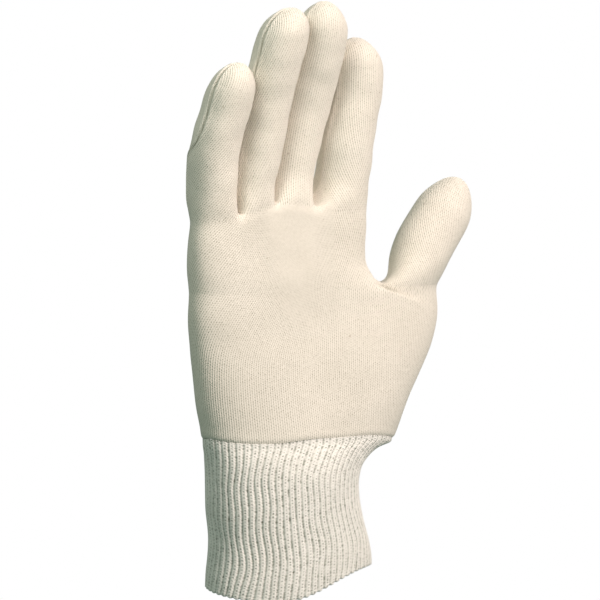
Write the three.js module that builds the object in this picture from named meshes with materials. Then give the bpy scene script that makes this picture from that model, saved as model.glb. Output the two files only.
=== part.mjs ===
// Cotton work glove with a ribbed knit wrist, held open as if worn.
//
// Millimetres, +Z up. The fingers point up, +X is the thumb's side and the palm faces -Y.
// The origin is the middle of the cuff's mouth. The hand is one branching skin, made of rings
// of points: the lower palm divides into the upper palm and the thumb, and the upper palm
// divides into four fingers. The skin is cut along the glove's seams into panels, and each
// panel is given the thickness of the cloth.

import * as THREE from 'three';

// Driving sizes
const CUFF_LENGTH = 62;
const WRIST_BREADTH = 71;
const WRIST_DEPTH = 50;
const PALM_LENGTH = 100;
const PALM_BREADTH = 86;
const PALM_DEPTH = 34;
const THUMB_WEB_HEIGHT = 64;
const THUMB_SIDE_REACH = 75;
const THUMB_WEB_TURN = 16;
const THUMB_BREADTH = 26;
const THUMB_DEPTH = 25;
const THUMB_RISE = 45;
const FINGER_DEPTH = 23.5;
const LITTLE_LENGTH = 68;
const RING_LENGTH = 87;
const MIDDLE_LENGTH = 87.5;
const INDEX_LENGTH = 74.5;

// Cloth, seams and folds
const CLOTH = 1.2;
const RIB_CLOTH = 1.4;
const RIB_RELIEF = 0.9;
const RIB_COUNT = 64;
const SEAM_GAP = 0.3;
const CUFF_OVERHANG = 0.8;
const FINGER_CLEARANCE = 0.8;
const FINGER_ROOT_BLEND = 14;
const THUMB_ROOT_BLEND = 14;
const COLUMN_BLEND = 26;
const THUMB_FOLD = 2.6;
const THUMB_FOLD_RISE = 1.2;
const THUMB_FOLD_REACH = 0.55;

// Side seams, in degrees from the middle of the palm side
const ULNAR_SEAM = -118;
const RADIAL_SEAM = 100;
const INDEX_SIDE_SEAM = 90;
const FINGER_SEAM = 80;
const THUMB_INNER_SEAM = -90;

// How finely the rings are divided
const CELL_COLUMNS = 6;
const WEB_COLUMNS = 4;
const THUMB_COLUMNS = 8;
const LOWER_PALM_ROWS = 7;
const UPPER_PALM_ROWS = 6;
const FINGER_ROWS = 7;
const THUMB_ROWS = 7;
const DOME_ROWS = 4;
const CUFF_ROWS = 8;
const ARC_STEPS = 240;

// Rows of a branch stand closer near its root by this power
const ROW_CROWDING = 1.35;

// Shape of ovals and tips: powers of the ovals and the dome's height in breadths
const WRIST_SQUARENESS = 2.05;
const FINGER_SQUARENESS = 2.15;
const THUMB_SQUARENESS = 2.1;
const DOME = 0.6;

const WRIST_SEAM_Z = CUFF_LENGTH;
const THUMB_WEB_Z = WRIST_SEAM_Z + THUMB_WEB_HEIGHT;
const FINGER_WEB_Z = WRIST_SEAM_Z + PALM_LENGTH;
const HALF_WEB = WEB_COLUMNS / 2;
const FINGER_PITCH = PALM_BREADTH / 4;
const FINGER_BREADTH = FINGER_PITCH - FINGER_CLEARANCE;

// Palm below the thumb's web. at: share of the height up to that web. ulnar: little finger's
// edge and web: place of the column that leads to the thumb's web, in palm breadths. radial:
// thumb's edge in thumb side reaches. deep, cup and lag: the section's depth, its hollow and how
// far the thumb's side lies back, in palm depths. squareness: the oval's power.
const LOWER_PALM = [
  { at: 0.00, ulnar: -0.478, web: 0.38, radial: 0.672, deep: 1.17, cup: 0.02, lag: 0.00, squareness: 2.2 },
  { at: 0.25, ulnar: -0.518, web: 0.40, radial: 0.780, deep: 1.14, cup: 0.06, lag: 0.02, squareness: 2.3 },
  { at: 0.50, ulnar: -0.546, web: 0.43, radial: 0.896, deep: 1.08, cup: 0.09, lag: 0.06, squareness: 2.4 },
  { at: 0.68, ulnar: -0.562, web: 0.45, radial: 0.968, deep: 1.03, cup: 0.11, lag: 0.10, squareness: 2.4 },
  { at: 0.86, ulnar: -0.572, web: 0.465, radial: 1.010, deep: 0.98, cup: 0.12, lag: 0.14, squareness: 2.5 },
  { at: 1.00, ulnar: -0.574, web: 0.475, radial: 1.028, deep: 0.95, cup: 0.12, lag: 0.17, squareness: 2.5 },
];

// Palm from the thumb's web to the fingers' webs. radial: index finger's edge in palm breadths.
const UPPER_PALM = [
  { at: 0.00, ulnar: -0.575, radial: 0.448, deep: 0.95, cup: 0.12, squareness: 2.5 },
  { at: 0.35, ulnar: -0.574, radial: 0.418, deep: 0.91, cup: 0.13, squareness: 2.5 },
  { at: 0.60, ulnar: -0.574, radial: 0.412, deep: 0.88, cup: 0.14, squareness: 2.5 },
  { at: 1.00, ulnar: -0.566, radial: 0.430, deep: 0.84, cup: 0.15, squareness: 2.5 },
];

// Height of the fingers' roots. across: place between the palm's edges. rise: in palm lengths.
const KNUCKLE_LINE = [
  { across: -1.00, rise: -0.060 },
  { across: -0.55, rise: -0.033 },
  { across: -0.08, rise: 0.019 },
  { across: 0.45, rise: -0.010 },
  { across: 1.00, rise: -0.050 },
];

// Where the fingers divide, as shares of the way from the little finger's edge.
const FINGER_EDGES = [0.236, 0.435, 0.665];

// Fingers. at: share of the length. across: lean towards the thumb in finger pitches. front:
// lean towards the palm side in finger depths. broad and deep: section in finger breadths and
// depths. seam: direction of the outer side seam in degrees.
const LITTLE = [
  { at: 0.00, across: 0.00, front: 0.00, broad: 0.97, deep: 1.16, seam: -118 },
  { at: 0.18, across: 0.01, front: 0.08, broad: 0.99, deep: 1.04, seam: -118 },
  { at: 0.40, across: 0.00, front: 0.16, broad: 1.03, deep: 1.00, seam: -114 },
  { at: 0.50, across: 0.03, front: 0.23, broad: 1.03, deep: 0.99, seam: -85 },
  { at: 0.74, across: 0.17, front: 0.42, broad: 1.01, deep: 0.97, seam: -78 },
  { at: 1.00, across: 0.25, front: 0.64, broad: 0.88, deep: 0.86, seam: -82 },
];
const RING = [
  { at: 0.00, across: 0.00, front: 0.00, broad: 0.93, deep: 1.18, seam: -80 },
  { at: 0.12, across: 0.07, front: 0.09, broad: 0.90, deep: 1.07, seam: -80 },
  { at: 0.33, across: 0.21, front: 0.19, broad: 0.97, deep: 1.04, seam: -80 },
  { at: 0.55, across: 0.30, front: 0.32, broad: 1.01, deep: 1.04, seam: -80 },
  { at: 0.84, across: 0.45, front: 0.64, broad: 1.03, deep: 1.03, seam: -82 },
  { at: 1.00, across: 0.57, front: 0.78, broad: 0.96, deep: 0.94, seam: -85 },
];
const MIDDLE = [
  { at: 0.00, across: 0.00, front: 0.00, broad: 0.96, deep: 1.18, seam: -80 },
  { at: 0.12, across: 0.15, front: 0.00, broad: 0.92, deep: 1.07, seam: -80 },
  { at: 0.32, across: 0.33, front: 0.06, broad: 0.97, deep: 1.02, seam: -80 },
  { at: 0.53, across: 0.49, front: 0.19, broad: 1.02, deep: 1.01, seam: -80 },
  { at: 0.82, across: 0.60, front: 0.51, broad: 1.00, deep: 1.00, seam: -82 },
  { at: 1.00, across: 0.52, front: 0.68, broad: 0.93, deep: 0.92, seam: -85 },
];
const INDEX = [
  { at: 0.00, across: 0.00, front: 0.00, broad: 1.16, deep: 1.16, seam: 90 },
  { at: 0.14, across: 0.18, front: 0.04, broad: 1.15, deep: 1.05, seam: 82 },
  { at: 0.40, across: 0.30, front: 0.11, broad: 1.14, deep: 1.01, seam: 80 },
  { at: 0.76, across: 0.49, front: 0.19, broad: 1.06, deep: 1.00, seam: 80 },
  { at: 1.00, across: 0.38, front: 0.28, broad: 0.96, deep: 0.92, seam: 85 },
];

// Thumb. out: shift to the side in thumb breadths. back: shift to the back in thumb depths.
// lean: tilt of the section away from the palm in degrees.
const THUMB = [
  { at: 0.00, out: 0.06, back: 0.00, broad: 1.00, deep: 1.02, lean: 0 },
  { at: 0.22, out: 0.32, back: 0.08, broad: 1.00, deep: 1.01, lean: 14 },
  { at: 0.40, out: 0.50, back: 0.12, broad: 1.01, deep: 1.00, lean: 20 },
  { at: 0.60, out: 0.75, back: 0.16, broad: 0.99, deep: 0.97, lean: 24 },
  { at: 0.80, out: 0.98, back: 0.20, broad: 0.90, deep: 0.91, lean: 27 },
  { at: 1.00, out: 1.20, back: 0.22, broad: 0.80, deep: 0.82, lean: 28 },
];

// Cuff, from its mouth up. middle: shift to the thumb's side and broad: breadth, in wrist
// breadths. deep: depth in wrist depths. flare: how far the tube has opened to the hand's seam.
const CUFF = [
  { at: 0.00, middle: 0.003, broad: 1.09, deep: 1.04, flare: 0.00 },
  { at: 0.08, middle: 0.003, broad: 1.08, deep: 1.04, flare: 0.00 },
  { at: 0.19, middle: 0.000, broad: 1.05, deep: 1.03, flare: 0.00 },
  { at: 0.34, middle: -0.015, broad: 1.01, deep: 1.01, flare: 0.00 },
  { at: 0.53, middle: -0.039, broad: 1.00, deep: 1.00, flare: 0.00 },
  { at: 0.68, middle: -0.041, broad: 1.00, deep: 1.00, flare: 0.01 },
  { at: 0.78, middle: -0.041, broad: 1.00, deep: 1.00, flare: 0.13 },
  { at: 0.89, middle: -0.041, broad: 1.00, deep: 1.00, flare: 0.52 },
  { at: 0.96, middle: -0.041, broad: 1.00, deep: 1.00, flare: 0.94 },
  { at: 1.00, middle: -0.041, broad: 1.00, deep: 1.00, flare: 1.00 },
];

// The hem is not level: waves of one and two turns round the mouth, in wrist breadths.
const HEM_WAVES = [
  { turns: 1, rise: -0.045, from: -30 },
  { turns: 1, rise: 0.046, from: 60 },
  { turns: 2, rise: -0.045, from: -30 },
];

const FINGER_COLUMNS = [HALF_WEB + CELL_COLUMNS, CELL_COLUMNS, CELL_COLUMNS, CELL_COLUMNS + HALF_WEB];
const LITTLE_RING = FINGER_COLUMNS[0];
const RING_MIDDLE = LITTLE_RING + CELL_COLUMNS;
const MIDDLE_INDEX = RING_MIDDLE + CELL_COLUMNS;
const INDEX_THUMB = MIDDLE_INDEX + CELL_COLUMNS;

const radians = THREE.MathUtils.degToRad;
const { lerp, clamp } = THREE.MathUtils;

/** A smooth curve through the rows of a table, read at any place between the first and last. */
function tableCurve(rows, placeName = 'at') {
  const names = Object.keys(rows[0]).filter((name) => name !== placeName);
  const places = rows.map((row) => row[placeName]);
  const values = rows.flatMap((row) => names.map((name) => row[name]));
  const curve = new THREE.CubicInterpolant(places, values, names.length);
  return (place) => {
    const read = curve.evaluate(clamp(place, places[0], places[places.length - 1]));
    return Object.fromEntries(names.map((name, index) => [name, read[index]]));
  };
}

function signedPower(value, power) {
  return Math.sign(value) * Math.abs(value) ** power;
}

/** A point of an oval section; the angle starts at the palm side and turns towards the thumb. */
function ovalPoint(section, angle) {
  const across = signedPower(Math.sin(angle), 2 / section.squareness);
  const ahead = signedPower(Math.cos(angle), 2 / section.squareness);
  const bend = section.cup * (0.5 - across * across) + section.lag * Math.max(0, across) ** 2;
  return new THREE.Vector2(
    section.middle + section.halfBreadth * across,
    section.back - section.halfDepth * ahead + bend,
  );
}

/** An oval's arc between two angles: fine points and the length of the way to each. */
function measuredArc(section, fromAngle, toAngle) {
  const points = [];
  const lengths = [0];
  for (let step = 0; step <= ARC_STEPS; step += 1) {
    points.push(ovalPoint(section, radians(lerp(fromAngle, toAngle, step / ARC_STEPS))));
    if (step > 0) {
      lengths.push(lengths[step - 1] + points[step].distanceTo(points[step - 1]));
    }
  }
  return { points, lengths };
}

/** Points of an arc at given shares of its length. */
function arcPoints({ points, lengths }, shares) {
  let step = 1;
  return shares.map((share) => {
    const wanted = share * lengths[ARC_STEPS];
    while (step < ARC_STEPS && lengths[step] < wanted) {
      step += 1;
    }
    const part = (wanted - lengths[step - 1]) / (lengths[step] - lengths[step - 1]);
    return points[step - 1].clone().lerp(points[step], clamp(part, 0, 1));
  });
}

/** Share of an arc's length at which it passes a place across the hand. */
function shareAt({ points, lengths }, x) {
  const passes = (point, index) => index > 0 && (points[index - 1].x - x) * (point.x - x) <= 0;
  const step = points.findIndex(passes);
  const part = (x - points[step - 1].x) / (points[step].x - points[step - 1].x);
  return lerp(lengths[step - 1], lengths[step], part) / lengths[ARC_STEPS];
}

/** Shares of a line of skin points' length at which the points stand. */
function pointShares(ids) {
  const lengths = [0];
  for (let place = 1; place < ids.length; place += 1) {
    const step = skin.points[ids[place]].distanceTo(skin.points[ids[place - 1]]);
    lengths.push(lengths[place - 1] + step);
  }
  return lengths.map((length) => length / lengths[ids.length - 1]);
}

/** Shares from 0 to 1 for groups of evenly divided columns that end at the given shares. */
function columnShares(columns, ends) {
  const shares = [0];
  columns.forEach((count, group) => {
    const start = group === 0 ? 0 : ends[group - 1];
    for (let column = 1; column <= count; column += 1) {
      shares.push(lerp(start, ends[group], column / count));
    }
  });
  return shares;
}

function evenShares(columns) {
  return columnShares([columns], [1]);
}

/** Shares that turn from a root's own columns to evenly divided ones. */
function blendedShares(rootIds, own) {
  const rootShares = pointShares(rootIds);
  return evenShares(rootIds.length - 1).map((share, column) => lerp(rootShares[column], share, own));
}

/** Front and back points of a palm section, with columns that lead to the given dividing places. */
function palmRing(section, sideSeam, columns, frontPlaces, backPlaces) {
  const frontArc = measuredArc(section, ULNAR_SEAM, sideSeam);
  const backArc = measuredArc(section, sideSeam, 360 + ULNAR_SEAM);
  const frontEnds = frontPlaces.map((x) => shareAt(frontArc, x));
  const backEnds = [...backPlaces].reverse().map((x) => shareAt(backArc, x));
  return {
    front: arcPoints(frontArc, columnShares(columns, [...frontEnds, 1])),
    back: arcPoints(backArc, columnShares([...columns].reverse(), [...backEnds, 1])),
  };
}

const skin = { points: [], faces: [] };

// Direction across the web at each point of a web
const webAcross = new Map();

function addPoint(x, y, z) {
  skin.points.push(new THREE.Vector3(x, y, z));
  return skin.points.length - 1;
}

function addFace(a, b, c, panel) {
  skin.faces.push({ corners: [a, b, c], panel });
}

/** Faces between two strips of points, the second above the first. */
function joinStrips(lower, upper, panel) {
  for (let column = 0; column + 1 < lower.length; column += 1) {
    const [a, b] = [lower[column], lower[column + 1]];
    const [d, c] = [upper[column], upper[column + 1]];
    const points = skin.points;
    if (points[a].distanceTo(points[c]) < points[b].distanceTo(points[d])) {
      addFace(a, b, c, panel);
      addFace(a, c, d, panel);
    } else {
      addFace(a, b, d, panel);
      addFace(b, c, d, panel);
    }
  }
}

/** Adds a ring as a front strip and a back strip that share their two end points. */
function addRing(frontPoints, backPoints) {
  const front = frontPoints.map((point) => addPoint(point.x, point.y, point.z));
  const inner = backPoints.slice(1, -1).map((point) => addPoint(point.x, point.y, point.z));
  return { front, back: [front[front.length - 1], ...inner, front[0]] };
}

function joinRings(lower, upper, frontPanel, backPanel) {
  joinStrips(lower.front, upper.front, frontPanel);
  joinStrips(lower.back, upper.back, backPanel);
}

/** A line of points along a web, from the front skin to the back skin, ends included. */
function addWeb(frontId, backId) {
  const start = skin.points[frontId];
  const end = skin.points[backId];
  const across = new THREE.Vector3(start.y - end.y, end.x - start.x, 0).normalize();
  const web = [frontId];
  for (let column = 1; column < WEB_COLUMNS; column += 1) {
    const point = start.clone().lerp(end, column / WEB_COLUMNS);
    web.push(addPoint(point.x, point.y, point.z));
  }
  web.push(backId);
  web.forEach((id) => webAcross.set(id, across));
  return web;
}

/** The root ring of a branch that stands between two webs; an outer branch has only one. */
function rootRing(frontCell, backCell, leftWeb, rightWeb) {
  const left = leftWeb ? leftWeb.slice(0, HALF_WEB + 1).reverse() : [frontCell[0]];
  const right = rightWeb ? rightWeb.slice(0, HALF_WEB + 1) : [frontCell[frontCell.length - 1]];
  const rightBack = rightWeb ? rightWeb.slice(HALF_WEB) : [backCell[0]];
  const leftBack = leftWeb ? leftWeb.slice(HALF_WEB).reverse() : [backCell[backCell.length - 1]];
  return {
    front: [...left.slice(0, -1), ...frontCell, ...right.slice(1)],
    back: [...rightBack.slice(0, -1), ...backCell, ...leftBack.slice(1)],
  };
}

function middleOf(ids) {
  const sum = new THREE.Vector3();
  ids.forEach((id) => sum.add(skin.points[id]));
  return sum.divideScalar(ids.length);
}

/** Middle of the space that a root ring takes up, at the mean height of its points. */
function rootMiddleOf(root) {
  const ids = [...root.front, ...root.back];
  const space = new THREE.Box3().setFromPoints(ids.map((id) => skin.points[id]));
  return space.getCenter(new THREE.Vector3()).setZ(middleOf(ids).z);
}

/** How far a branch has turned from its root's outline into its own, 0 to 1. */
function rootBlend(height, reach) {
  return 1 - (1 - clamp(height / reach, 0, 1)) ** 2;
}

/** The palm's section at a share of the height between the wrist seam and the thumb's web. */
function lowerPalmSection(at) {
  const table = tableCurve(LOWER_PALM)(at);
  const ulnar = table.ulnar * PALM_BREADTH;
  const radial = table.radial * THUMB_SIDE_REACH;
  return {
    ulnar,
    web: table.web * PALM_BREADTH,
    middle: (ulnar + radial) / 2,
    back: 0,
    halfBreadth: (radial - ulnar) / 2,
    halfDepth: (table.deep * PALM_DEPTH) / 2,
    cup: table.cup * PALM_DEPTH,
    lag: table.lag * PALM_DEPTH,
    squareness: table.squareness,
  };
}

/** The lower palm: from the wrist seam to the thumb's web. */
function buildLowerPalm() {
  const columns = [...FINGER_COLUMNS.slice(0, 3), CELL_COLUMNS, THUMB_COLUMNS];
  let below = null;
  for (let row = 0; row <= LOWER_PALM_ROWS; row += 1) {
    const at = row / LOWER_PALM_ROWS;
    const section = lowerPalmSection(at);
    const dividing = (web) => [...FINGER_EDGES, 1].map((edge) => lerp(section.ulnar, web, edge));
    const backWeb = section.web + at * THUMB_WEB_TURN;
    const z = lerp(WRIST_SEAM_Z + SEAM_GAP / 2, THUMB_WEB_Z, at);
    const place = (point) => new THREE.Vector3(point.x, point.y, z);
    const points = palmRing(section, RADIAL_SEAM, columns, dividing(section.web), dividing(backWeb));
    const ring = addRing(points.front.map(place), points.back.map(place));
    if (below) {
      joinRings(below, ring, 'palm_panel', 'back_panel');
    }
    below = ring;
  }
  return below;
}

/** The upper palm: from the thumb's web to the line of the fingers' webs. */
function buildUpperPalm(root) {
  const read = tableCurve(UPPER_PALM);
  const readLine = tableCurve(KNUCKLE_LINE, 'across');
  let below = root;
  for (let row = 1; row <= UPPER_PALM_ROWS; row += 1) {
    const at = (row / UPPER_PALM_ROWS) ** ROW_CROWDING;
    const table = read(at);
    const ulnar = table.ulnar * PALM_BREADTH;
    const radial = table.radial * PALM_BREADTH;
    const section = {
      middle: (ulnar + radial) / 2,
      back: 0,
      halfBreadth: (radial - ulnar) / 2,
      halfDepth: (table.deep * PALM_DEPTH) / 2,
      cup: table.cup * PALM_DEPTH,
      lag: 0,
      squareness: table.squareness,
    };
    const own = rootBlend(at * (FINGER_WEB_Z - THUMB_WEB_Z), THUMB_ROOT_BLEND);
    const place = (points, rootIds) => points.map((point, column) => {
      const start = skin.points[rootIds[column]];
      const x = lerp(start.x, point.x, own);
      const y = lerp(start.y, point.y, own);
      const across = clamp((x - section.middle) / section.halfBreadth, -1, 1);
      const top = FINGER_WEB_Z + readLine(across).rise * PALM_LENGTH;
      return new THREE.Vector3(x, y, lerp(start.z, top, at));
    });
    const dividing = FINGER_EDGES.map((edge) => lerp(ulnar, radial, edge));
    const points = palmRing(section, INDEX_SIDE_SEAM, FINGER_COLUMNS, dividing, dividing);
    const ring = addRing(place(points.front, root.front), place(points.back, root.back));
    joinRings(below, ring, 'palm_panel', 'back_panel');
    below = ring;
  }
  return below;
}

/** Shares of a branch's length for its rows, with the rows of its domed tip and their scale. */
function branchRows(rows, domeShare) {
  const list = [];
  for (let row = 1; row <= rows; row += 1) {
    list.push({ at: (1 - domeShare) * (row / rows) ** ROW_CROWDING, scale: 1 });
  }
  for (let row = 1; row < DOME_ROWS; row += 1) {
    const turn = (Math.PI / 2) * (row / DOME_ROWS);
    list.push({ at: 1 - domeShare * (1 - Math.sin(turn)), scale: Math.cos(turn) });
  }
  return list;
}

/** Closes a branch with one point at its tip. */
function closeTip(ring, tip, frontPanel, backPanel) {
  for (const [strip, panel] of [[ring.front, frontPanel], [ring.back, backPanel]]) {
    for (let column = 0; column + 1 < strip.length; column += 1) {
      addFace(strip[column], strip[column + 1], tip, panel);
    }
  }
}

/** One finger, grown from its root ring to its domed tip. */
function buildFinger({ root, table, length, leftSeam, rightSeam, frontPanel }) {
  const read = tableCurve(table);
  const rootMiddle = rootMiddleOf(root);
  const domeShare = (FINGER_BREADTH * DOME) / length;
  let below = root;
  const centreAt = (row) => new THREE.Vector2(
    rootMiddle.x + row.across * FINGER_PITCH,
    rootMiddle.y - row.front * FINGER_DEPTH,
  );
  for (const { at, scale } of branchRows(FINGER_ROWS, domeShare)) {
    const row = read(at);
    const centre = centreAt(row);
    const height = at * length;
    const section = {
      middle: centre.x,
      back: centre.y,
      halfBreadth: (scale * row.broad * FINGER_BREADTH) / 2,
      halfDepth: (scale * row.deep * FINGER_DEPTH) / 2,
      cup: 0,
      lag: 0,
      squareness: FINGER_SQUARENESS,
    };
    const own = rootBlend(height, FINGER_ROOT_BLEND);
    const place = (points, rootIds) => points.map((point, column) => {
      const start = skin.points[rootIds[column]];
      return new THREE.Vector3(
        lerp(centre.x + start.x - rootMiddle.x, point.x, own),
        lerp(centre.y + start.y - rootMiddle.y, point.y, own),
        lerp(start.z, rootMiddle.z, own) + height,
      );
    });
    const left = leftSeam ?? row.seam;
    const right = rightSeam ?? row.seam;
    const turned = rootBlend(height, COLUMN_BLEND);
    const front = arcPoints(measuredArc(section, left, right), blendedShares(root.front, turned));
    const back = arcPoints(measuredArc(section, right, 360 + left), blendedShares(root.back, turned));
    const ring = addRing(place(front, root.front), place(back, root.back));
    joinRings(below, ring, frontPanel, 'back_panel');
    below = ring;
  }
  const end = centreAt(read(1));
  closeTip(below, addPoint(end.x, end.y, rootMiddle.z + length), frontPanel, 'back_panel');
}

/** The thumb, whose root is tucked behind a fold of the palm's cloth. */
function buildThumb(root) {
  const read = tableCurve(THUMB);
  const rootMiddle = rootMiddleOf(root);
  const domeShare = (THUMB_BREADTH * DOME) / THUMB_RISE;
  const firstRow = { at: THUMB_FOLD_RISE / THUMB_RISE, scale: 1 };
  let below = root;
  for (const { at, scale } of [firstRow, ...branchRows(THUMB_ROWS, domeShare)]) {
    const row = read(at);
    const height = at * THUMB_RISE;
    const own = rootBlend(height, THUMB_ROOT_BLEND);
    const section = {
      middle: 0,
      back: 0,
      halfBreadth: (scale * row.broad * THUMB_BREADTH) / 2,
      halfDepth: (scale * row.deep * THUMB_DEPTH) / 2,
      cup: 0,
      lag: 0,
      squareness: THUMB_SQUARENESS,
    };
    const axisPlace = new THREE.Vector3(
      rootMiddle.x + row.out * THUMB_BREADTH,
      rootMiddle.y + row.back * THUMB_DEPTH,
      rootMiddle.z + height,
    );
    const lean = radians(row.lean);
    const place = (points, rootIds) => points.map((point, column) => {
      const start = skin.points[rootIds[column]].clone().sub(rootMiddle);
      const x = lerp(start.x, point.x, own);
      const y = lerp(start.y, point.y, own);
      const palmward = clamp(-y / (THUMB_DEPTH / 2), 0, 1);
      const webward = clamp(THUMB_FOLD_REACH - x / THUMB_BREADTH, 0, 1);
      const tuck = THUMB_FOLD * (1 - own) * palmward * webward;
      return new THREE.Vector3(
        axisPlace.x + x * Math.cos(lean),
        axisPlace.y + y + tuck,
        axisPlace.z - x * Math.sin(lean) + (1 - own) * start.z,
      );
    });
    const turned = rootBlend(height, COLUMN_BLEND);
    const frontArc = measuredArc(section, THUMB_INNER_SEAM, RADIAL_SEAM);
    const backArc = measuredArc(section, RADIAL_SEAM, 360 + THUMB_INNER_SEAM);
    const front = arcPoints(frontArc, blendedShares(root.front, turned));
    const back = arcPoints(backArc, blendedShares(root.back, turned));
    const ring = addRing(place(front, root.front), place(back, root.back));
    joinRings(below, ring, 'thumb', 'thumb');
    below = ring;
  }
  const end = read(1);
  const tip = addPoint(
    rootMiddle.x + end.out * THUMB_BREADTH,
    rootMiddle.y + end.back * THUMB_DEPTH,
    rootMiddle.z + THUMB_RISE,
  );
  closeTip(below, tip, 'thumb', 'thumb');
}

/** The whole hand as one skin. */
function buildHand() {
  const wide = buildLowerPalm();
  const backEnd = wide.back.length - 1;
  const thumbWeb = addWeb(wide.front[INDEX_THUMB], wide.back[backEnd - INDEX_THUMB]);
  const palmRoot = rootRing(
    wide.front.slice(0, INDEX_THUMB + 1),
    wide.back.slice(backEnd - INDEX_THUMB),
    null,
    thumbWeb,
  );
  const thumbRoot = rootRing(
    wide.front.slice(INDEX_THUMB),
    wide.back.slice(0, backEnd - INDEX_THUMB + 1),
    thumbWeb,
    null,
  );
  buildThumb(thumbRoot);

  const knuckles = buildUpperPalm(palmRoot);
  const last = knuckles.front.length - 1;
  const bounds = [0, LITTLE_RING, RING_MIDDLE, MIDDLE_INDEX, last];
  const webs = [null, null, null, null, null];
  for (const side of [1, 2, 3]) {
    webs[side] = addWeb(knuckles.front[bounds[side]], knuckles.back[last - bounds[side]]);
  }
  const fingers = [
    { table: LITTLE, length: LITTLE_LENGTH, rightSeam: FINGER_SEAM, frontPanel: 'palm_panel' },
    { table: RING, length: RING_LENGTH, rightSeam: FINGER_SEAM, frontPanel: 'middle_fingers_panel' },
    { table: MIDDLE, length: MIDDLE_LENGTH, rightSeam: FINGER_SEAM, frontPanel: 'middle_fingers_panel' },
    { table: INDEX, length: INDEX_LENGTH, leftSeam: -FINGER_SEAM, frontPanel: 'palm_panel' },
  ];
  fingers.forEach((finger, place) => {
    const root = rootRing(
      knuckles.front.slice(bounds[place], bounds[place + 1] + 1),
      knuckles.back.slice(last - bounds[place + 1], last - bounds[place] + 1),
      webs[place],
      webs[place + 1],
    );
    buildFinger({ ...finger, root });
  });
}

/** Normals of the whole skin, so that neighbouring panels thicken the same way. */
function skinNormals() {
  const normals = skin.points.map(() => new THREE.Vector3());
  const triangle = new THREE.Triangle();
  const normal = new THREE.Vector3();
  for (const { corners } of skin.faces) {
    triangle.setFromPointsAndIndices(skin.points, ...corners);
    triangle.getNormal(normal).multiplyScalar(triangle.getArea());
    corners.forEach((corner) => normals[corner].add(normal));
  }
  webAcross.forEach((across, id) => normals[id].projectOnPlane(across));
  return normals.map((sum) => sum.normalize());
}

/** Edges that only one face of a panel uses, in that face's own direction. */
function openEdges(faces) {
  const edges = new Map();
  for (const { corners } of faces) {
    corners.forEach((from, index) => {
      const to = corners[(index + 1) % 3];
      edges.set(`${from} ${to}`, [from, to]);
    });
  }
  return [...edges.values()].filter(([from, to]) => !edges.has(`${to} ${from}`));
}

/** One panel of the skin as a closed solid, kept clear of its neighbours along the seams. */
function panelGeometry(panel, normals) {
  const faces = skin.faces.filter((face) => face.panel === panel);
  const edges = openEdges(faces);
  const onSeam = new Set(edges.flat());
  const inward = new Map();
  for (const { corners } of faces) {
    const middle = middleOf(corners);
    for (const corner of corners.filter((id) => onSeam.has(id))) {
      const pull = inward.get(corner) ?? new THREE.Vector3();
      inward.set(corner, pull.add(middle).sub(skin.points[corner]));
    }
  }
  const ids = [...new Set(faces.flatMap((face) => face.corners))];
  const order = new Map(ids.map((id, index) => [id, index]));
  const outer = ids.map((id) => {
    const point = skin.points[id].clone();
    if (inward.has(id)) {
      const pull = inward.get(id).projectOnPlane(normals[id]).setLength(SEAM_GAP / 2);
      point.add(pull);
    }
    return point;
  });
  const inner = ids.map((id, index) => outer[index].clone().addScaledVector(normals[id], -CLOTH));
  const count = ids.length;
  const triangles = [];
  for (const { corners } of faces) {
    const [a, b, c] = corners.map((corner) => order.get(corner));
    triangles.push(a, b, c);
    triangles.push(c + count, b + count, a + count);
  }
  for (const [from, to] of edges) {
    const [a, b] = [order.get(from), order.get(to)];
    if (from < to) {
      triangles.push(b, a, b + count, a, a + count, b + count);
    } else {
      triangles.push(b, a, a + count, b, a + count, b + count);
    }
  }
  const geometry = new THREE.BufferGeometry().setFromPoints([...outer, ...inner]);
  geometry.setIndex(triangles);
  geometry.computeVertexNormals();
  return geometry;
}

/** Height of the hem above the mouth's mean plane. */
function hemHeight(angle) {
  return HEM_WAVES.reduce(
    (sum, wave) => sum + wave.rise * WRIST_BREADTH * Math.cos(wave.turns * (angle - radians(wave.from))),
    0,
  );
}

/** The cuff's section, which opens from the wrist's oval to the hand's seam. */
function cuffSection(row, wall) {
  const seam = lowerPalmSection(0);
  return {
    middle: lerp(row.middle * WRIST_BREADTH, seam.middle, row.flare),
    back: 0,
    halfBreadth: lerp((row.broad * WRIST_BREADTH) / 2, seam.halfBreadth - CUFF_OVERHANG, row.flare) - wall,
    halfDepth: lerp((row.deep * WRIST_DEPTH) / 2, seam.halfDepth - CUFF_OVERHANG, row.flare) - wall,
    cup: lerp(0, seam.cup, row.flare),
    lag: 0,
    squareness: lerp(WRIST_SQUARENESS, seam.squareness, row.flare),
  };
}

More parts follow.
